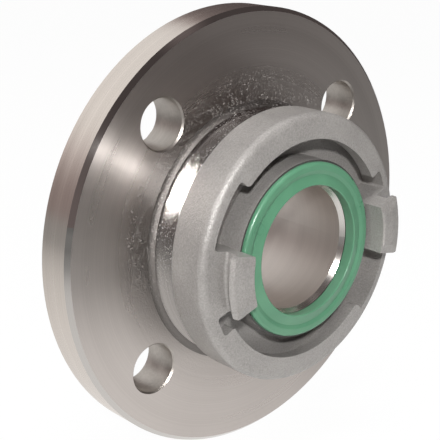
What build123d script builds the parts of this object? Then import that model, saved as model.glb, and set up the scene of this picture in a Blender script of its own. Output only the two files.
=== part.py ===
"""Storz coupling half fixed to a DN 50 pipe flange, in four pieces.

Each piece is drawn standing on its pipe end: the rear sealing face is height 0 and the coupling looks up +Z.
The finished pieces are then laid over, so that the coupling looks along -Y and +Z is up.
All sizes are in millimetres and all angles in degrees.
"""
import os
from math import atan2, cos, degrees, radians, sin

from build123d import *

# Flange plate, with the standard sizes of a DN 50 PN 16 flange
FLANGE_D = 165.0
PLATE_THICK = 15.0
RAISED_FACE_D = 102.0
RAISED_FACE_HEIGHT = 3.0
BOLT_CIRCLE_D = 125.0
BOLT_HOLE_D = 18.0
BOLT_COUNT = 4
BOLT_HOLE_CHAMFER = 0.6
FRONT_EDGE_CHAMFER = 1.6
REAR_EDGE_CHAMFER = 0.8

# Waterway and spigot
BORE_D = 46.0
SPIGOT_WALL = 4.5
MOUTH_CHAMFER_WIDE = 1.3
MOUTH_CHAMFER_LONG = 1.7
SPIGOT_EDGE_CHAMFER = 0.6

# Neck between the flange plate and the lug ring
NECK_LENGTH = 12.2
NECK_STEP_IN = 2.7
NECK_FILLET = 3.0
NECK_EDGE_CHAMFER = 0.4

# Clearances of the lug ring, which turns on the spigot
TURN_CLEARANCE = 0.05
END_CLEARANCE = 0.3

# Lug ring, from the inside out and from the rear to the front
HUB_WALL = 4.95
HUB_TO_LUG = 0.5
LUG_NECK_WIDE = 6.1
LUG_TO_LIP = 0.8
HOOK_OVERHANG = 4.2
HOOK_TO_WALL = 1.3
RING_WALL = 4.4
RING_HEIGHT = 16.3
FLOOR_THICK = 5.5
HUB_SETBACK = 0.6
RING_FRONT_ROUND = 2.8
RING_REAR_ROUND = 0.8
RING_BORE_CHAMFER = 0.5
FRONT_CONE_WIDE = 7.0
FRONT_CONE_DROP = 0.8

# Around the lug ring: a lug, a gap, a locking lip and an insertion notch, twice
LUG_ANGLE = 31.5
GAP_ANGLE = 10.5
NOTCH_ANGLE = 32.25
RING_REST_TURN = 7.0
LIP_THIN = 4.0
LIP_THICK = 5.0
LIP_START_ROUND = 2.2
LIP_END_ROUND = 1.0
POCKET_ROUND = 1.2

# Hooked end of each lug
HOOK_REACH = 8.2
HOOK_UNDER = 5.4
HOOK_DRAFT = 1.3
HOOK_CROWN_WIDE = 4.0
HOOK_CROWN_DROP = 0.7
HOOK_CORNER_ROUND = 2.6
HOOK_TOP_ROUND = 0.8
HOOK_RIM_ROUND = 0.5
HOOK_FOOT_ROUND = 1.0
LEAD_ANGLE = 5.5
LEAD_SLOPE = 16.0

# Seal and its seat in the hub
SEAL_SEAT_DEPTH = 3.0
SEAL_LEDGE = 1.75
SEAL_BEAD_THICK = 1.2
SEAL_BEAD_REACH = 0.5
SEAL_CLEARANCE = 0.05
SEAL_OVERLAP = 0.4
SEAL_PROUD = 1.9
SEAL_NOSE_RISE = 0.3
SEAL_EDGE_ROUND = 1.6
SEAL_LIP_ROUND = 0.5
SEAL_MOUTH_STEP = 0.5
SEAL_GROOVE_IN = 3.6
SEAL_GROOVE_WIDE = 0.9
SEAL_GROOVE_DEEP = 0.45

# Open wire ring that holds the lug ring on the spigot
WIRE_D = 2.5
WIRE_SETBACK = 3.5
WIRE_CLEARANCE = 0.05
WIRE_OPENING = 8.0

# Radii that follow from the bore outwards
BORE_R = BORE_D / 2
SPIGOT_R = BORE_R + SPIGOT_WALL
HUB_BORE_R = SPIGOT_R + TURN_CLEARANCE
HUB_R = HUB_BORE_R + HUB_WALL
LUG_INNER_R = HUB_R + HUB_TO_LUG
LUG_NECK_R = LUG_INNER_R + LUG_NECK_WIDE
LIP_R = LUG_NECK_R + LUG_TO_LIP
HOOK_R = LUG_NECK_R + HOOK_OVERHANG
CHANNEL_R = HOOK_R + HOOK_TO_WALL
RING_R = CHANNEL_R + RING_WALL
NECK_R = RING_R - NECK_STEP_IN
MOUTH_R = BORE_R + MOUTH_CHAMFER_WIDE
SEAL_SEAT_R = HUB_R - SEAL_LEDGE

# Heights that follow from the rear sealing face forwards
PLATE_FRONT = RAISED_FACE_HEIGHT + PLATE_THICK
NECK_FRONT = PLATE_FRONT + NECK_LENGTH
RING_REAR = NECK_FRONT + END_CLEARANCE
CHANNEL_FLOOR = RING_REAR + FLOOR_THICK
RING_FRONT = RING_REAR + RING_HEIGHT
HUB_TOP = RING_FRONT - HUB_SETBACK
SEAL_SEAT = RING_FRONT - SEAL_SEAT_DEPTH
SPIGOT_FRONT = SEAL_SEAT - END_CLEARANCE
HOOK_TOP = RING_FRONT + HOOK_REACH
HOOK_UNDERSIDE = RING_FRONT + HOOK_UNDER
SEAL_FRONT = RING_FRONT + SEAL_PROUD
WIRE_HEIGHT = RING_REAR + WIRE_SETBACK

# Angles round the lug ring, counted from the middle of the first lug
GAP_START = LUG_ANGLE / 2
LIP_END = GAP_START + GAP_ANGLE
NOTCH_END = 180 - LUG_ANGLE / 2
LIP_START = NOTCH_END - NOTCH_ANGLE

# How far the cutting shapes run past what they cut
PAST = 1.0


def section(corners):
    """Close a profile through (radius, height, rounding) corners and round those that ask for it."""
    face = make_face(Polyline([(x, y) for x, y, _ in corners], close=True))
    for x, y, rounding in corners:
        if rounding:
            face = fillet(face.vertices().sort_by_distance((x, y, 0))[0], rounding)
    return face


def turned(corners, arc=360.0):
    """Turn a profile about the coupling's axis, the whole way round or through an arc centred on +X."""
    solid = revolve(Plane.XZ * section(corners), Axis.Z, arc)
    return Rot(Z=-arc / 2) * solid if arc < 360 else solid


def polar(radius, angle):
    """Give the plan point at a radius and angle."""
    return (radius * cos(radians(angle)), radius * sin(radians(angle)))


def plan_sector(inner, outer, start, end):
    """Draw the plan of a ring sector."""
    middle = (start + end) / 2
    return make_face([
        ThreePointArc(polar(inner, start), polar(inner, middle), polar(inner, end)),
        Line(polar(inner, end), polar(outer, end)),
        ThreePointArc(polar(outer, end), polar(outer, middle), polar(outer, start)),
        Line(polar(outer, start), polar(inner, start)),
    ])


def round_plan(plan, radius, angle, rounding):
    """Round one corner of a plan, found by its radius and angle."""
    corner = plan.vertices().sort_by_distance(polar(radius, angle) + (0,))[0]
    return fillet(corner, rounding)


def raised(plan, bottom, top):
    """Raise a plan into a solid between two heights."""
    return Pos(Z=bottom) * extrude(plan, top - bottom, dir=(0, 0, 1))


def both_sides(solid):
    """Repeat a shape half a turn round the axis."""
    return solid + Rot(Z=180) * solid


def flange_spigot():
    """Turn the flange plate, neck and spigot in one piece, bored through, with four bolt holes."""
    flange_r = FLANGE_D / 2
    body = turned([
        (BORE_R, 0, 0),
        (RAISED_FACE_D / 2, 0, 0),
        (RAISED_FACE_D / 2, RAISED_FACE_HEIGHT, 0),
        (flange_r - REAR_EDGE_CHAMFER, RAISED_FACE_HEIGHT, 0),
        (flange_r, RAISED_FACE_HEIGHT + REAR_EDGE_CHAMFER, 0),
        (flange_r, PLATE_FRONT - FRONT_EDGE_CHAMFER, 0),
        (flange_r - FRONT_EDGE_CHAMFER, PLATE_FRONT, 0),
        (NECK_R, PLATE_FRONT, NECK_FILLET),
        (NECK_R, NECK_FRONT - NECK_EDGE_CHAMFER, 0),
        (NECK_R - NECK_EDGE_CHAMFER, NECK_FRONT, 0),
        (SPIGOT_R, NECK_FRONT, 0),
        (SPIGOT_R, SPIGOT_FRONT - SPIGOT_EDGE_CHAMFER, 0),
        (SPIGOT_R - SPIGOT_EDGE_CHAMFER, SPIGOT_FRONT, 0),
        (MOUTH_R, SPIGOT_FRONT, 0),
        (BORE_R, SPIGOT_FRONT - MOUTH_CHAMFER_LONG, 0),
    ])
    wire_groove = Pos(Z=WIRE_HEIGHT) * Torus(SPIGOT_R, WIRE_D / 2 + WIRE_CLEARANCE)
    return body - wire_groove - bolt_holes()


def bolt_holes():
    """Give the chamfered holes that are cut through the flange plate."""
    hole_r = BOLT_HOLE_D / 2
    wide_r = hole_r + BOLT_HOLE_CHAMFER
    hole = turned([
        (0, RAISED_FACE_HEIGHT, 0),
        (wide_r, RAISED_FACE_HEIGHT, 0),
        (hole_r, RAISED_FACE_HEIGHT + BOLT_HOLE_CHAMFER, 0),
        (hole_r, PLATE_FRONT - BOLT_HOLE_CHAMFER, 0),
        (wide_r, PLATE_FRONT, 0),
        (0, PLATE_FRONT, 0),
    ])
    start = 180 / BOLT_COUNT
    return [place * hole for place in PolarLocations(BOLT_CIRCLE_D / 2, BOLT_COUNT, start)]


def ring_blank():
    """Turn the lug ring before its channel is cut: hub, seal seat, wire groove and outer wall."""
    groove_r = HUB_BORE_R + WIRE_D + END_CLEARANCE
    groove_half = WIRE_D / 2 + END_CLEARANCE
    bead_r = SEAL_SEAT_R + SEAL_BEAD_REACH + SEAL_CLEARANCE
    bead_top = SEAL_SEAT + SEAL_BEAD_THICK + SEAL_CLEARANCE
    return turned([
        (HUB_BORE_R + RING_BORE_CHAMFER, RING_REAR, 0),
        (RING_R, RING_REAR, RING_REAR_ROUND),
        (RING_R, RING_FRONT - FRONT_CONE_DROP, RING_FRONT_ROUND),
        (RING_R - FRONT_CONE_WIDE, RING_FRONT, 0),
        (LUG_INNER_R, RING_FRONT, 0),
        (LUG_INNER_R, HUB_TOP, 0),
        (SEAL_SEAT_R, HUB_TOP, 0),
        (SEAL_SEAT_R, bead_top, 0),
        (bead_r, bead_top, 0),
        (bead_r, SEAL_SEAT, 0),
        (HUB_BORE_R, SEAL_SEAT, 0),
        (HUB_BORE_R, WIRE_HEIGHT + groove_half, 0),
        (groove_r, WIRE_HEIGHT + groove_half, 0),
        (groove_r, WIRE_HEIGHT - groove_half, 0),
        (HUB_BORE_R, WIRE_HEIGHT - groove_half, 0),
        (HUB_BORE_R, RING_REAR + RING_BORE_CHAMFER, 0),
    ])


def channel_mouth():
    """Cut the open gap, the slot inside the lip and the insertion notch, as seen from the front."""
    plan = plan_sector(HUB_R, LIP_R, GAP_START, NOTCH_END)
    plan += plan_sector(HUB_R, CHANNEL_R, GAP_START, LIP_END)
    plan += plan_sector(HUB_R, CHANNEL_R, LIP_START, NOTCH_END)
    plan = round_plan(plan, LIP_R, LIP_END, LIP_END_ROUND)
    plan = round_plan(plan, LIP_R, LIP_START, LIP_START_ROUND)
    plan = round_plan(plan, CHANNEL_R, LIP_START, POCKET_ROUND)
    plan = round_plan(plan, CHANNEL_R, LIP_END, POCKET_ROUND)
    plan = round_plan(plan, CHANNEL_R, GAP_START, POCKET_ROUND)
    plan = round_plan(plan, CHANNEL_R, NOTCH_END, POCKET_ROUND)
    return raised(plan, CHANNEL_FLOOR, RING_FRONT + PAST)


def channel_undercut():
    """Cut the channel behind the lip, with a sloping roof that thins the lip towards the notch."""
    plan = plan_sector(HUB_R, CHANNEL_R, GAP_START, NOTCH_END)
    plan = round_plan(plan, CHANNEL_R, GAP_START, POCKET_ROUND)
    plan = round_plan(plan, CHANNEL_R, NOTCH_END, POCKET_ROUND)
    rise = LIP_THICK - LIP_THIN
    lip_half = radians(LIP_START - LIP_END) / 2
    run = (LIP_R + CHANNEL_R) * sin(lip_half)
    roof_middle = RING_FRONT - (LIP_THICK + LIP_THIN) / 2
    under_roof = Box(4 * RING_R, 4 * RING_R, RING_R, align=(Align.CENTER, Align.CENTER, Align.MAX))
    under_roof = Rot(Z=(LIP_START + LIP_END) / 2) * Rot(X=degrees(atan2(rise, run))) * under_roof
    return raised(plan, CHANNEL_FLOOR, RING_FRONT) & Pos(Z=roof_middle) * under_roof


def hook():
    """Make one lug's neck and hooked end, with its lead-in slopes."""
    crown_r = HOOK_R - HOOK_DRAFT
    blank = turned([
        (LUG_INNER_R, HUB_TOP, 0),
        (LUG_INNER_R, HOOK_TOP, HOOK_TOP_ROUND),
        (crown_r - HOOK_CROWN_WIDE, HOOK_TOP, 0),
        (crown_r, HOOK_TOP - HOOK_CROWN_DROP, HOOK_TOP_ROUND),
        (HOOK_R, HOOK_UNDERSIDE, HOOK_RIM_ROUND),
        (LUG_NECK_R, HOOK_UNDERSIDE, HOOK_RIM_ROUND),
        (LUG_NECK_R, RING_FRONT, HOOK_FOOT_ROUND),
        (LUG_NECK_R + 2 * HOOK_FOOT_ROUND, RING_FRONT, 0),
        (LUG_NECK_R + 2 * HOOK_FOOT_ROUND, HUB_TOP, 0),
    ], LUG_ANGLE)
    half = LUG_ANGLE / 2
    plan = plan_sector(LUG_INNER_R - PAST, HOOK_R, -half, half)
    plan = round_plan(plan, HOOK_R, -half, HOOK_CORNER_ROUND)
    plan = round_plan(plan, HOOK_R, half, HOOK_CORNER_ROUND)
    blank &= raised(plan, HUB_TOP, HOOK_TOP)
    slope = Box(HOOK_R, HOOK_R, HOOK_REACH, align=(Align.MIN, Align.MIN, Align.MIN))
    slope = Rot(Z=half - LEAD_ANGLE) * Pos(Z=HOOK_TOP) * Rot(X=-LEAD_SLOPE) * slope
    return blank - slope - mirror(slope, Plane.XZ)


def lug_ring():
    """Cut the channel into the blank and add the two hooks."""
    ring = ring_blank() - both_sides(channel_mouth()) - both_sides(channel_undercut())
    return Rot(Z=RING_REST_TURN) * (ring + both_sides(hook()))


def seal_ring():
    """Turn the seal, with a bead that snaps behind the hub's lip and a face that stands proud."""
    body_r = SEAL_SEAT_R - SEAL_CLEARANCE
    bead_r = body_r + SEAL_BEAD_REACH
    bead_top = SEAL_SEAT + SEAL_BEAD_THICK
    face_r = HUB_R - SEAL_OVERLAP
    inner_r = MOUTH_R - SEAL_MOUTH_STEP
    groove_r = face_r - SEAL_GROOVE_IN
    groove_half = SEAL_GROOVE_WIDE / 2
    nose = SEAL_FRONT + SEAL_NOSE_RISE
    seal = turned([
        (MOUTH_R, SEAL_SEAT, 0),
        (bead_r, SEAL_SEAT, 0),
        (bead_r, bead_top, 0),
        (body_r, bead_top, 0),
        (body_r, HUB_TOP, 0),
        (face_r, HUB_TOP, 0),
        (face_r, SEAL_FRONT, SEAL_EDGE_ROUND),
        (groove_r + groove_half, SEAL_FRONT, 0),
        (groove_r, SEAL_FRONT - SEAL_GROOVE_DEEP, 0),
        (groove_r - groove_half, SEAL_FRONT, 0),
        (inner_r, nose, SEAL_LIP_ROUND),
    ])
    return Rot(Z=RING_REST_TURN) * seal


def retaining_ring():
    """Bend the open wire ring that lies half in the spigot's groove and half in the hub's."""
    opening = degrees(WIRE_OPENING / SPIGOT_R)
    wire = Plane.XZ * Pos(SPIGOT_R, 0) * Circle(WIRE_D / 2)
    bent = revolve(wire, Axis.Z, 360 - opening)
    return Pos(Z=WIRE_HEIGHT) * Rot(Z=opening / 2) * bent


def main():
    """Write one file for each piece, laid over into the part's own frame."""
    os.makedirs("parts", exist_ok=True)
    pieces = {
        "flange_spigot": flange_spigot(),
        "lug_ring": lug_ring(),
        "seal_ring": seal_ring(),
        "retaining_ring": retaining_ring(),
    }
    for name, piece in pieces.items():
        export_step(Rot(X=90) * piece, os.path.join("parts", name + ".step"))


main()
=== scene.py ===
"""Looks for the flanged Storz coupling half: camera, lights, floor and finishes round the fixed frame."""
from math import cos, pi, radians, sin, tan

import bmesh
import bpy
from mathutils import Matrix, Vector

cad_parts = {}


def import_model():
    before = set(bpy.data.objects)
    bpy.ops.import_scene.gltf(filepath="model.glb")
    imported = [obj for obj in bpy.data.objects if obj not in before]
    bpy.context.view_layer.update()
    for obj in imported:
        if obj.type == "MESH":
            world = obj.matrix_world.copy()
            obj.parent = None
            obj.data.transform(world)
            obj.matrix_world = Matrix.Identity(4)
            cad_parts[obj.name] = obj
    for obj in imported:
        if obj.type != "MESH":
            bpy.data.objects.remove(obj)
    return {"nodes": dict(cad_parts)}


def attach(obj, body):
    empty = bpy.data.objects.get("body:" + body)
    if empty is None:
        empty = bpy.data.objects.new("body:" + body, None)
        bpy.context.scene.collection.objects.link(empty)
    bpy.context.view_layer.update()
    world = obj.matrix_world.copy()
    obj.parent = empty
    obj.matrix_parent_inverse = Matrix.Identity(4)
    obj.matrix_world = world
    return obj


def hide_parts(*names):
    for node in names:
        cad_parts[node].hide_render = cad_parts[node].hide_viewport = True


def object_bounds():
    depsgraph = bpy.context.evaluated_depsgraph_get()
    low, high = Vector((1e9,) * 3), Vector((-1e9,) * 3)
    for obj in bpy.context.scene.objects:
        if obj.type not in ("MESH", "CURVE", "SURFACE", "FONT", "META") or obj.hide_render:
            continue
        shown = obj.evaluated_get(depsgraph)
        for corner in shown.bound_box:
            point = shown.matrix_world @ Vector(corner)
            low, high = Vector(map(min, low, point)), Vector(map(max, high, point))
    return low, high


# Camera, fitted to the photograph, in metres and degrees
CAMERA_PLACE = Vector((-0.27806, -0.29785, 0.11261))
CAMERA_TARGET = Vector((-0.010943, -0.012973, 0.004662))
CAMERA_ROLL = 2.818
CAMERA_ANGLE = 22.614
CAMERA_NEAR = 0.01

# World light: the level that lights matt surfaces, and the level that reflections show
WORLD_LEVEL = 0.176
WORLD_MIRRORED = 0.8

# Lamps, in metres and watts: a small key at the upper left front, and a broad top light that nothing mirrors
LAMP_AIM = Vector((0, -0.03, 0))
KEY_FROM = Vector((-0.62, -0.64, 0.445))
KEY_DISTANCE = 1.2
KEY_SIZE = 0.07
KEY_POWER = 16.0
TOP_FROM = Vector((-0.10, -0.10, 0.99))
TOP_DISTANCE = 1.2
TOP_SIZE = 0.5
TOP_POWER = 12.0

# A band round the studio that only reflections show, dim below and white above, in metres
BAND_RADIUS = 1.6
BAND_LOW = -0.06
BAND_HIGH = 6.0
BAND_MIDDLE = (BAND_LOW + BAND_HIGH) / 2
BAND_SIDES = 96

# Where the band changes from its back left end to its front right end, then a value for each of the two ends
BAND_TURN = (-1.0, 0.3)
BAND_DARK_TO = (0.20, 3.0)
BAND_WHITE_FROM = (1.10, 6.0)
BAND_LEVEL = (0.30, 0.09)

# Tint of the band's dim part, and the strengths at which the tint is full and gone
BAND_TINT = (1.0, 0.83, 0.82)
TINT_FULL = 0.3
TINT_GONE = 0.9

# Floor, and the share of it that glows for the camera and for reflections
FLOOR_SIZE = 6.0
FLOOR_COLOUR = (0.80, 0.80, 0.79)
FLOOR_ROUGHNESS = 0.9
FLOOR_SEEN = 0.97

# How the floor's reflection dims with distance and towards the front
FLOOR_BRIGHT_TO = 0.05
FLOOR_DARK_FROM = 0.50
FLOOR_FAR_LEVEL = 0.35
FLOOR_LEAN = 0.15
FLOOR_FRONT_FROM = 0.11
FLOOR_FRONT_TO = 0.22
FLOOR_FRONT_LEVEL = 0.60

# Stations of the flange piece along the axis, as metres in front of the rear sealing face
PLATE_BACK = 0.003
PLATE_FRONT = 0.018
MOUTH_FROM = 0.0419
MOUTH_TO = 0.0434

# Radii that part the finishes of the flange piece
BORE_TO = 0.0245
FOOT_FROM = 0.0468
NECK_TO = 0.0495
HOLES_FROM = 0.053
HOLES_TO = 0.072
CORNER_FROM = 0.0811
RIM_FROM = 0.0822

# Margins that tell the faces of a flat side from those beside it, the finer one for the fillet of the neck
EDGE = 0.0001
FOOT_EDGE = 0.000002

# Outer radius of the lug ring's hub; its top strip round the seal is painted shade, dark like the gap there
HUB_R = 0.0325

# Radii over which the painted shade round the neck and the torn grain of the flat sides fade out
SHADE_FROM = 0.050
SHADE_TO = 0.064

# How far the neck's shading leans forward, as a slope
NECK_LEAN = 0.85

# Noise scales of the steel: fine rings, broad rings, patches, torn grains and clusters of specks
RING_SCALE = 2600
BROAD_SCALE = 180
PATCH_SCALE = 14
GRAIN_SCALE = 1700
CLUSTER_SCALE = 110

# Bump heights of the fine rings and of the torn grains, in metres
RING_DEPTH = 0.00004
GRAIN_DEPTH = 0.0003

# Turn of the brushed highlight against the tangent, as a share of a full turn
BRUSHED_TURN = 0.25

# Painted glints as matt specks among the torn grains: how rare, how clustered, over which heights, and colour
SPECK_SPAN = (0.56, 0.69)
CLUSTER_SPAN = (0.28, 0.56)
SPECK_RISE = (-0.03, 0.01)
GLINT_SPECK_COLOUR = (0.42, 0.39, 0.37)

# The stretch of a noise's values over which a finish changes, and a tighter one for the blasted steel's tone
NOISE_LOW = 0.3
NOISE_HIGH = 0.7
GRIT_LOW = 0.34
GRIT_HIGH = 0.66

# Shares of fine rings in the tone, patches in the colour, broad rings in the roughness, and blasted grit
FINE_SHARE = 0.35
PATCH_SHARE = 0.35
BROAD_SHARE = 0.6
GRIT_SHARE = 0.65

# Seal: the stations of its steps, their radii from the outside in, and the roundings of its front
SEAL_BACK = 0.0438
SEAL_BEAD_FRONT = 0.0450
SEAL_LEDGE = 0.0462
SEAL_BAND = 0.0479
SEAL_VALLEY = 0.04735
SEAL_NOSE = 0.0486
SEAL_OUTER_R = 0.0318
SEAL_BEAD_R = 0.0312
SEAL_BODY_R = 0.0307
SEAL_BAND_R = 0.0290
SEAL_VALLEY_R = 0.0276
SEAL_MOUTH_R = 0.0243
SEAL_NOSE_R = 0.0236
SEAL_EDGE_ROUND = 0.0013
SEAL_BAND_ROUND = 0.0003
SEAL_NOSE_ROUND = 0.0004

# How finely the seal is turned and its corners are rounded, and from how many degrees an edge stays sharp
TURN_STEPS = 192
ARC_STEPS = 8
SHARP_ANGLE = 35

# Plain colours
WHITE = (1.0, 1.0, 1.0)
BLACK = (0.0, 0.0, 0.0)


class Nodes:
    """A node tree, emptied, with short calls for the nodes that the finishes and the studio share."""

    # The sockets of the mix node that hold its share and its two colours, and the one that gives the result
    MIX_INPUTS = (0, 6, 7)
    MIX_RESULT = 2

    def __init__(self, tree):
        self.tree = tree
        self.tree.nodes.clear()

    def add(self, kind, **settings):
        """Add a node of a kind, with settings that aren't sockets."""
        node = self.tree.nodes.new(kind)
        for key, value in settings.items():
            setattr(node, key, value)
        return node

    def give(self, socket, value):
        """Link a socket to another one, or set it to a number or to a colour."""
        if isinstance(value, bpy.types.NodeSocket):
            self.tree.links.new(value, socket)
        elif isinstance(value, tuple):
            socket.default_value = (*value, 1)
        else:
            socket.default_value = value

    def feed(self, node, *inputs):
        """Give a node's first sockets their values, and leave a socket alone where the value is None."""
        for socket, value in zip(node.inputs, inputs):
            if value is not None:
                self.give(socket, value)
        return node

    def math(self, operation, *inputs):
        """Give the result of an operation on numbers."""
        return self.feed(self.add("ShaderNodeMath", operation=operation), *inputs).outputs[0]

    def weigh(self, first, share, second):
        """Add up a share of the first value and the rest of the second."""
        return self.math("ADD", self.math("MULTIPLY", first, share), self.math("MULTIPLY", second, 1 - share))

    def length(self, first, second):
        """Give the length of a flat vector from its two parts."""
        squares = self.math("ADD", self.math("MULTIPLY", first, first), self.math("MULTIPLY", second, second))
        return self.math("SQRT", squares)

    def place(self):
        """Give the place on the piece, in metres from its origin."""
        return self.add("ShaderNodeTexCoord").outputs["Object"]

    def axes(self):
        """Give the place's x, y and z apart."""
        return self.feed(self.add("ShaderNodeSeparateXYZ"), self.place()).outputs

    def radius(self):
        """Give the distance from the coupling's axis."""
        x, _, z = self.axes()
        return self.length(x, z)

    def vector(self, x, y):
        """Join two numbers into a flat vector."""
        return self.feed(self.add("ShaderNodeCombineXYZ"), x, y).outputs[0]

    def noise(self, scale, detail, roughness, vector=None):
        """Give a noise over a vector, or over the place where no vector is given."""
        node = self.add("ShaderNodeTexNoise")
        self.give(node.inputs["Vector"], self.place() if vector is None else vector)
        self.give(node.inputs["Scale"], scale)
        self.give(node.inputs["Detail"], detail)
        self.give(node.inputs["Roughness"], roughness)
        return node.outputs["Fac"]

    def span(self, value, low, high, to_low=0.0, to_high=1.0, smooth=True):
        """Carry a value from one range to another, with soft ends or along a straight line."""
        node = self.add("ShaderNodeMapRange", interpolation_type="SMOOTHSTEP" if smooth else "LINEAR")
        return self.feed(node, value, low, high, to_low, to_high).outputs[0]

    def ramp(self, value, low, first, high, second):
        """Give the first colour up to the low value, the second from the high one, and a blend between."""
        node = self.feed(self.add("ShaderNodeValToRGB"), value)
        for element, position, colour in zip(node.color_ramp.elements, (low, high), (first, second)):
            element.position = position
            element.color = (*colour, 1)
        return node.outputs[0]

    def mix(self, share, first, second):
        """Mix two colours, with this share of the second."""
        node = self.add("ShaderNodeMix", data_type="RGBA")
        for index, value in zip(self.MIX_INPUTS, (share, first, second)):
            self.give(node.inputs[index], value)
        return node.outputs[self.MIX_RESULT]

    def bump(self, height, distance, strength=1.0, below=None):
        """Tilt the shading by a height, on top of the bump below where there is one."""
        node = self.add("ShaderNodeBump")
        self.give(node.inputs["Strength"], strength)
        self.give(node.inputs["Distance"], distance)
        self.give(node.inputs["Height"], height)
        if below is not None:
            self.give(node.inputs["Normal"], below)
        return node.outputs[0]

    def glow(self, strength, colour=None):
        """Give off light of this strength, white where no colour is given."""
        return self.feed(self.add("ShaderNodeEmission"), colour, strength).outputs[0]

    def ray(self, kind):
        """Give 1 to rays of a kind and 0 to the rest."""
        return self.add("ShaderNodeLightPath").outputs[f"Is {kind} Ray"]

    def seen_or_mirrored(self):
        """Give 1 to camera, glossy and transmission rays, and 0 to those that only light the scene."""
        seen = self.math("MAXIMUM", self.ray("Camera"), self.ray("Glossy"))
        return self.math("MAXIMUM", seen, self.ray("Transmission"))


class Finish(Nodes):
    """A new material, with a surface shader linked to its output."""

    def __init__(self, name):
        self.material = bpy.data.materials.new(name)
        self.material.use_nodes = True
        super().__init__(self.material.node_tree)
        self.shader = self.add("ShaderNodeBsdfPrincipled")
        self.surface = self.add("ShaderNodeOutputMaterial").inputs["Surface"]
        self.give(self.surface, self.shader.outputs[0])

    def set(self, **inputs):
        """Give the shader's sockets their values, by their names in small letters."""
        for name, value in inputs.items():
            self.give(self.shader.inputs[name.replace("_", " ").title()], value)


def steel(name, dark, light, rough, anisotropic, ring_scale=RING_SCALE, ring_depth=RING_DEPTH, sparkle=0.0,
          shade=0.0, lean=0.0):
    """Make machined steel with rings round the axis, whose tone and roughness wander between two values.

    The sparkle is the strength of its torn grains, which also bring matt specks as painted glints. The shade
    is how much painted shade darkens it towards the neck, and the lean tilts its shading forward by a slope,
    as on a flared surface.
    """
    n = Finish(name)
    _, y, _ = n.axes()
    rings = n.vector(n.radius(), y)
    fine = n.noise(ring_scale, detail=2, roughness=0.6, vector=rings)
    broad = n.noise(BROAD_SCALE, detail=3, roughness=0.55, vector=rings)
    patch = n.noise(PATCH_SCALE, detail=3, roughness=0.5)
    middle = tuple((low + high) / 2 for low, high in zip(dark, light))
    colour = n.ramp(n.weigh(fine, FINE_SHARE, broad), NOISE_LOW, dark, NOISE_HIGH, light)
    colour = n.mix(n.math("MULTIPLY", patch, PATCH_SHARE), colour, middle)
    roughness = n.span(n.weigh(broad, BROAD_SHARE, patch), NOISE_LOW, NOISE_HIGH, *rough)
    normal = n.bump(fine, ring_depth, strength=0.5)
    metallic = 1.0
    # Painted shade: the colour darkens towards the neck
    if shade:
        near = n.span(n.radius(), SHADE_FROM, SHADE_TO, 1.0, 0.0)
        colour = n.mix(n.math("MULTIPLY", near, shade), colour, BLACK)
    if sparkle:
        grains, specks = torn_grain(n)
        if shade:
            grains = n.math("MULTIPLY", grains, near)
            specks = n.math("MULTIPLY", specks, near)
        normal = n.bump(grains, GRAIN_DEPTH * sparkle, below=normal)
        # Painted glints: matt specks mixed into the colour, and less metallic
        colour = n.mix(specks, colour, GLINT_SPECK_COLOUR)
        metallic = n.math("SUBTRACT", 1.0, specks)
    if lean:
        normal = n.bump(y, lean, below=normal)
    tangent = n.add("ShaderNodeTangent", direction_type="RADIAL", axis="Y").outputs[0]
    n.set(base_color=colour, metallic=metallic, roughness=roughness, normal=normal, tangent=tangent)
    n.set(anisotropic=anisotropic, anisotropic_rotation=BRUSHED_TURN)
    return n.material


def torn_grain(n):
    """Give the height of the torn grains, and the share of matt specks among them, as painted glints."""
    _, _, z = n.axes()
    grains = n.noise(GRAIN_SCALE, detail=2, roughness=0.7)
    specks = n.math("MULTIPLY", n.span(grains, *SPECK_SPAN), n.span(z, *SPECK_RISE))
    clusters = n.span(n.noise(CLUSTER_SCALE, detail=2, roughness=0.5), *CLUSTER_SPAN)
    return grains, n.math("MULTIPLY", specks, clusters)


def turned_face():
    """The flat sides, brushed in rings, with torn grain, painted glints and painted shade round the neck."""
    return steel("turned_face", dark=(0.53, 0.482, 0.45), light=(0.69, 0.632, 0.593), rough=(0.26, 0.32),
                 anisotropic=1.0, sparkle=0.5, shade=0.10)


def turned_rim():
    """The rim, a little brighter than the flat sides, with a warm tint that is a painted reflection."""
    return steel("turned_rim", dark=(0.60, 0.54, 0.49), light=(0.78, 0.71, 0.645), rough=(0.22, 0.30),
                 anisotropic=0.85)


def turned_corner():
    """The rim's corners, almost a mirror."""
    return steel("turned_corner", dark=(0.50, 0.475, 0.45), light=(0.62, 0.59, 0.56), rough=(0.03, 0.05),
                 anisotropic=0.0, ring_depth=0.00001)


def turned_neck():
    """The neck and the spigot, dark and smooth, with some torn grain and painted glints."""
    return steel("turned_neck", dark=(0.26, 0.24, 0.226), light=(0.44, 0.41, 0.385), rough=(0.13, 0.19),
                 anisotropic=0.0, ring_scale=900, ring_depth=0.00002, sparkle=0.45, lean=NECK_LEAN)


def neck_foot():
    """The fillet at the neck's foot, darker still with painted shade in its crease, and rough with torn
    grain.
    """
    return steel("neck_foot", dark=(0.155, 0.143, 0.134), light=(0.27, 0.249, 0.233), rough=(0.42, 0.52),
                 anisotropic=0.0, ring_scale=900, ring_depth=0.00006, sparkle=1.0)


def drilled_hole():
    """The walls of the bolt holes."""
    return steel("drilled_hole", dark=(0.36, 0.33, 0.30), light=(0.58, 0.54, 0.50), rough=(0.38, 0.5),
                 anisotropic=0.3, ring_scale=1200, ring_depth=0.0001)


def smooth_bore():
    """The waterway's wall, with a soft sheen."""
    return steel("smooth_bore", dark=(0.52, 0.472, 0.437), light=(0.64, 0.585, 0.545), rough=(0.46, 0.54),
                 anisotropic=0.1)


def turned_edge():
    """The bright chamfer at the waterway's mouth."""
    return steel("turned_edge", dark=(0.60, 0.57, 0.54), light=(0.76, 0.72, 0.68), rough=(0.18, 0.24),
                 anisotropic=0.5)


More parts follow.
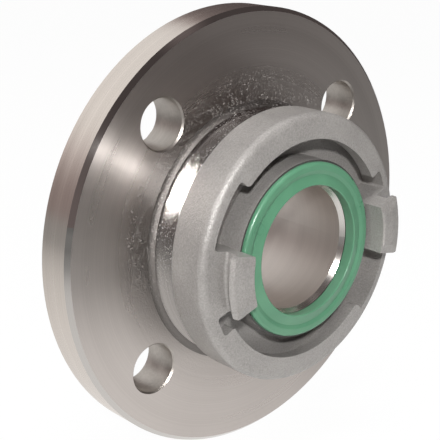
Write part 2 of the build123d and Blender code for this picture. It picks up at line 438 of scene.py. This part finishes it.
def blasted_steel():
    """Bead-blasted stainless steel: matt, with a fine even grain."""
    n = Finish("blasted_steel")
    dark = (0.23, 0.217, 0.207)
    light = (0.34, 0.323, 0.308)
    grain = n.noise(scale=1500, detail=2, roughness=0.65)
    blotch = n.noise(scale=70, detail=4, roughness=0.55)
    colour = n.ramp(n.weigh(grain, GRIT_SHARE, blotch), GRIT_LOW, dark, GRIT_HIGH, light)
    roughness = n.span(blotch, NOISE_LOW, NOISE_HIGH, to_low=0.33, to_high=0.42)
    normal = n.bump(grain, distance=0.00025, strength=0.9)
    n.set(base_color=colour, metallic=0.3, roughness=roughness, normal=normal)
    return n.material


def painted_shade_steel():
    """The hub's top strip, painted dark as painted shade of the gap round the seal."""
    n = Finish("painted_shade_steel")
    n.set(base_color=(0.045, 0.043, 0.041), metallic=0.0, roughness=0.8)
    return n.material


def seal_rubber():
    """Green moulded rubber with a satin face."""
    n = Finish("seal_rubber")
    dark = (0.064, 0.180, 0.105)
    light = (0.088, 0.222, 0.133)
    grain = n.noise(scale=1500, detail=3, roughness=0.5)
    cloud = n.noise(scale=60, detail=3, roughness=0.5)
    colour = n.ramp(cloud, NOISE_LOW, dark, NOISE_HIGH, light)
    roughness = n.span(cloud, NOISE_LOW, NOISE_HIGH, to_low=0.27, to_high=0.36)
    normal = n.bump(grain, distance=0.00003, strength=0.5)
    n.set(base_color=colour, metallic=0.0, roughness=roughness, normal=normal)
    return n.material


def spring_wire():
    """Drawn spring wire."""
    n = Finish("spring_wire")
    dark = (0.42, 0.42, 0.42)
    light = (0.56, 0.56, 0.55)
    cloud = n.noise(scale=900, detail=2, roughness=0.5)
    n.set(base_color=n.ramp(cloud, NOISE_LOW, dark, NOISE_HIGH, light), metallic=1.0, roughness=0.28)
    return n.material


def floor_white():
    """Show the floor white but for a faint shadow, and dim its reflection with distance and to the front."""
    n = Finish("floor")
    n.set(base_color=FLOOR_COLOUR, roughness=FLOOR_ROUGHNESS)
    x, y, _ = n.axes()
    far = n.span(n.length(x, y), FLOOR_BRIGHT_TO, FLOOR_DARK_FROM, 1.0, FLOOR_FAR_LEVEL, smooth=False)
    forward = n.math("MULTIPLY", n.math("ADD", y, n.math("MULTIPLY", x, FLOOR_LEAN)), -1.0)
    front = n.span(forward, FLOOR_FRONT_FROM, FLOOR_FRONT_TO, 1.0, FLOOR_FRONT_LEVEL)
    level = n.span(n.ray("Glossy"), 0.0, 1.0, 1.0, n.math("MULTIPLY", far, front), smooth=False)
    share = n.math("MULTIPLY", n.seen_or_mirrored(), FLOOR_SEEN)
    blend = n.feed(n.add("ShaderNodeMixShader"), share, n.shader.outputs[0], n.glow(level))
    n.give(n.surface, blend.outputs[0])
    return n.material


def band_glow():
    """Light the band dimly below and white above, lower at the back left and higher at the front right."""
    n = Finish("dark_band")
    x, y, z = n.axes()
    front_right = n.math("SUBTRACT", x, y)
    height = n.math("ADD", z, BAND_MIDDLE)
    dark_to = n.span(front_right, *BAND_TURN, *BAND_DARK_TO)
    white_from = n.span(front_right, *BAND_TURN, *BAND_WHITE_FROM)
    level = n.span(front_right, *BAND_TURN, *BAND_LEVEL)
    strength = n.span(height, dark_to, white_from, level, 1.0)
    colour = n.ramp(strength, TINT_FULL, BAND_TINT, TINT_GONE, WHITE)
    n.give(n.surface, n.glow(strength, colour))
    return n.material


def wear(mesh, *materials):
    """Swap a mesh's materials for these."""
    mesh.materials.clear()
    for material in materials:
        mesh.materials.append(material)


def place_of(face):
    """Give the radius and the station of a face's middle."""
    middle = face.center
    return (middle.x ** 2 + middle.z ** 2) ** 0.5, -middle.y


def dress(mesh, finishes, finish_at):
    """Give each face of a mesh the finish that is named for its place."""
    wear(mesh, *finishes.values())
    order = list(finishes)
    for face in mesh.polygons:
        face.material_index = order.index(finish_at(*place_of(face)))


def flange_finish_at(radius, station):
    """Name the finish of the flange piece at a radius and a station."""
    behind_front = station < PLATE_FRONT - EDGE
    if radius > RIM_FROM and behind_front:
        return "rim"
    if radius > CORNER_FROM and behind_front:
        return "corner"
    if radius < BORE_TO:
        return "mouth" if MOUTH_FROM < station < MOUTH_TO else "bore"
    if FOOT_FROM < radius < NECK_TO and station > PLATE_FRONT + FOOT_EDGE:
        return "foot"
    if radius < NECK_TO and station > PLATE_FRONT + EDGE:
        return "neck"
    if HOLES_FROM < radius < HOLES_TO and station > PLATE_BACK + EDGE and behind_front:
        return "hole"
    return "face"


def lug_ring_finish_at(radius, station):
    """Name the finish of the lug ring at a radius and a station."""
    # Painted shade: the hub's top strip round the seal, painted dark like the gap there
    if radius < HUB_R and abs(station - SEAL_LEDGE) < EDGE:
        return "hub_top"
    return "casting"


def flange_finishes():
    """Make the finishes of the flange piece, by the names that flange_finish_at gives."""
    return {
        "face": turned_face(),
        "rim": turned_rim(),
        "corner": turned_corner(),
        "neck": turned_neck(),
        "foot": neck_foot(),
        "hole": drilled_hole(),
        "bore": smooth_bore(),
        "mouth": turned_edge(),
    }


def lug_ring_finishes():
    """Make the finishes of the lug ring, by the names that lug_ring_finish_at gives."""
    return {
        "casting": blasted_steel(),
        "hub_top": painted_shade_steel(),
    }


def rounded(corners):
    """Give a profile's points, with an arc at each (radius, station, rounding) corner that asks for one."""
    points = []
    for index, (radius, station, rounding) in enumerate(corners):
        corner = Vector((radius, station))
        if not rounding:
            points.append(corner)
            continue
        before = (Vector(corners[index - 1][:2]) - corner).normalized()
        after = (Vector(corners[(index + 1) % len(corners)][:2]) - corner).normalized()
        half = before.angle(after) / 2
        middle = corner + (before + after).normalized() * rounding / sin(half)
        first = corner + before * rounding / tan(half) - middle
        last = corner + after * rounding / tan(half) - middle
        for step in range(ARC_STEPS + 1):
            points.append(middle + first.lerp(last, step / ARC_STEPS).normalized() * rounding)
    return points


def turned(name, corners):
    """Turn a closed profile about the coupling's axis into a piece."""
    outline = rounded(corners)
    form = bmesh.new()
    rings = []
    for step in range(TURN_STEPS):
        turn = 2 * pi * step / TURN_STEPS
        rings.append([form.verts.new((r * cos(turn), -station, r * sin(turn))) for r, station in outline])
    for here, there in zip(rings, rings[1:] + rings[:1]):
        for index in range(len(outline)):
            after = (index + 1) % len(outline)
            form.faces.new((here[index], here[after], there[after], there[index]))
    bmesh.ops.recalc_face_normals(form, faces=form.faces)
    mesh = bpy.data.meshes.new(name)
    form.to_mesh(mesh)
    form.free()
    mesh.shade_smooth()
    mesh.set_sharp_from_angle(angle=radians(SHARP_ANGLE))
    piece = bpy.data.objects.new(name, mesh)
    bpy.context.scene.collection.objects.link(piece)
    return piece


def add_seal(rubber):
    """Model the moulded seal: bead behind the hub's ledge, raised outer band, valley and taller nose."""
    seal = turned("moulded_seal", [
        (SEAL_MOUTH_R, SEAL_BACK, 0),
        (SEAL_BEAD_R, SEAL_BACK, 0),
        (SEAL_BEAD_R, SEAL_BEAD_FRONT, 0),
        (SEAL_BODY_R, SEAL_BEAD_FRONT, 0),
        (SEAL_BODY_R, SEAL_LEDGE, 0),
        (SEAL_OUTER_R, SEAL_LEDGE, 0),
        (SEAL_OUTER_R, SEAL_BAND, SEAL_EDGE_ROUND),
        (SEAL_BAND_R, SEAL_BAND, SEAL_BAND_ROUND),
        (SEAL_VALLEY_R, SEAL_VALLEY, 0),
        (SEAL_NOSE_R, SEAL_NOSE, SEAL_NOSE_ROUND),
    ])
    wear(seal.data, rubber)
    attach(seal, "lug_ring")
    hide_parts("seal_ring")


def facing(place, target):
    """Give the pose of a camera or lamp that stands at a place and looks at a target."""
    return Matrix.Translation(place) @ (target - place).to_track_quat("-Z", "Y").to_matrix().to_4x4()


def add_camera():
    """Place the photograph's camera."""
    camera = bpy.data.cameras.new("camera")
    camera.sensor_fit = "HORIZONTAL"
    camera.angle = radians(CAMERA_ANGLE)
    camera.clip_start = CAMERA_NEAR
    holder = bpy.data.objects.new("camera", camera)
    holder.matrix_world = facing(CAMERA_PLACE, CAMERA_TARGET) @ Matrix.Rotation(radians(CAMERA_ROLL), 4, "Z")
    bpy.context.scene.collection.objects.link(holder)
    bpy.context.scene.camera = holder


def add_area(name, direction, distance, size, power, mirrored=True):
    """Place a square soft light that looks at the coupling, and say whether the metal mirrors it."""
    light = bpy.data.lights.new(name, "AREA")
    light.size = size
    light.energy = power
    holder = bpy.data.objects.new(name, light)
    holder.matrix_world = facing(LAMP_AIM + direction.normalized() * distance, LAMP_AIM)
    holder.visible_glossy = mirrored
    bpy.context.scene.collection.objects.link(holder)


def add_world():
    """Light the scene evenly, show white to the camera, and a little less than white in reflections."""
    world = bpy.data.worlds.new("studio")
    bpy.context.scene.world = world
    world.use_nodes = True
    n = Nodes(world.node_tree)
    level = n.span(n.seen_or_mirrored(), 0.0, 1.0, WORLD_LEVEL, WORLD_MIRRORED, smooth=False)
    strength = n.math("MAXIMUM", level, n.ray("Camera"))
    background = n.feed(n.add("ShaderNodeBackground"), WHITE, strength)
    n.feed(n.add("ShaderNodeOutputWorld"), background.outputs[0])


def add_floor(low):
    """Lay the floor under the flange's rim."""
    bpy.ops.mesh.primitive_plane_add(size=FLOOR_SIZE, location=(0, 0, low))
    floor = bpy.context.object
    floor.name = "floor"
    wear(floor.data, floor_white())


def add_band():
    """Stand the band round the studio, where only reflections show it."""
    bpy.ops.mesh.primitive_cylinder_add(vertices=BAND_SIDES, radius=BAND_RADIUS, depth=BAND_HIGH - BAND_LOW,
                                        end_fill_type="NOTHING", location=(0, 0, BAND_MIDDLE))
    band = bpy.context.object
    band.name = "dark_band"
    wear(band.data, band_glow())
    for ray in ("camera", "diffuse", "shadow", "transmission"):
        setattr(band, "visible_" + ray, False)


def main():
    """Load the frame, dress its pieces, and light and show them as in the photograph."""
    bpy.context.scene.view_settings.view_transform = "Standard"
    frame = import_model()
    cad_low, cad_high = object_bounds()
    nodes = frame["nodes"]
    rubber = seal_rubber()
    add_camera()
    dress(nodes["flange_spigot"].data, flange_finishes(), flange_finish_at)
    dress(nodes["lug_ring"].data, lug_ring_finishes(), lug_ring_finish_at)
    wear(nodes["seal_ring"].data, rubber)
    wear(nodes["retaining_ring"].data, spring_wire())
    add_seal(rubber)
    add_world()
    add_area("key", KEY_FROM, KEY_DISTANCE, KEY_SIZE, KEY_POWER)
    add_area("top", TOP_FROM, TOP_DISTANCE, TOP_SIZE, TOP_POWER, mirrored=False)
    add_floor(cad_low[2])
    add_band()


main()
